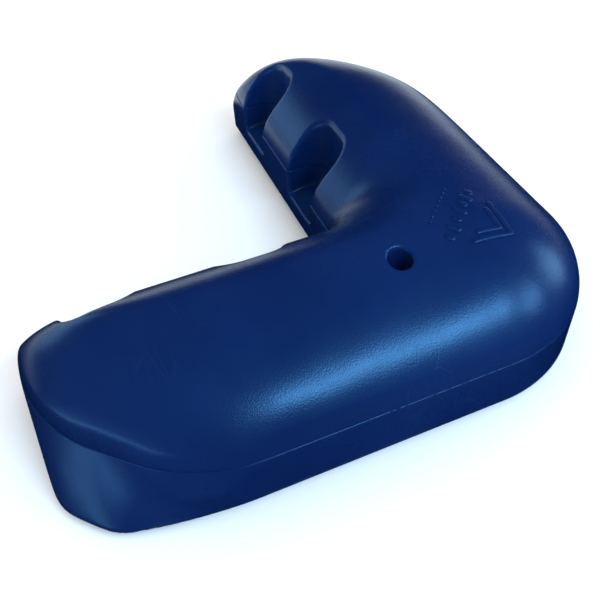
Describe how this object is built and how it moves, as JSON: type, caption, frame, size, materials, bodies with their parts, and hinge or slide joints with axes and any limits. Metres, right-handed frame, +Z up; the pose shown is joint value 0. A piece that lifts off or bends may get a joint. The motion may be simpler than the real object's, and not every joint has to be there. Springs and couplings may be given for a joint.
{
  "type": "paint pad edger",
  "caption": "L-shaped hand-held paint pad edger: hollow grip with finger pockets on both arms, flat base and a lift-off flocked foam pad.",
  "frame": {"origin": "centre of the footprint, on the plane the pad face rests on", "axes": "+Z up out of the crown; the two arms run from the rounded outer corner (at +X, -Y) towards -X and towards +Y"},
  "size_m": [0.178, 0.178, 0.0463],
  "materials": {
    "grip_plastic": "satin moulded blue",
    "base_plastic": "satin moulded blue",
    "zinc_screw": "zinc plated",
    "board_plastic": "moulded",
    "foam": "open-cell foam",
    "flock": "short white pile",
    "grommet_rubber": "black rubber"
  },
  "bodies": {
    "body": {"grip_shell": "grip_plastic", "base_shell": "base_plastic", "corner_screw": "zinc_screw", "arm_screws": "zinc_screw", "stud_grommets": "grommet_rubber"},
    "pad_refill": {"pad_board": "board_plastic", "pad_foam": "foam", "pad_flock": "flock"}
  },
  "joints": [
    {"name": "pad_lift_off", "type": "slide", "parent": "body", "child": "pad_refill", "axis": [0, 0, -1], "range_m": [0, 0.03]}
  ]
}
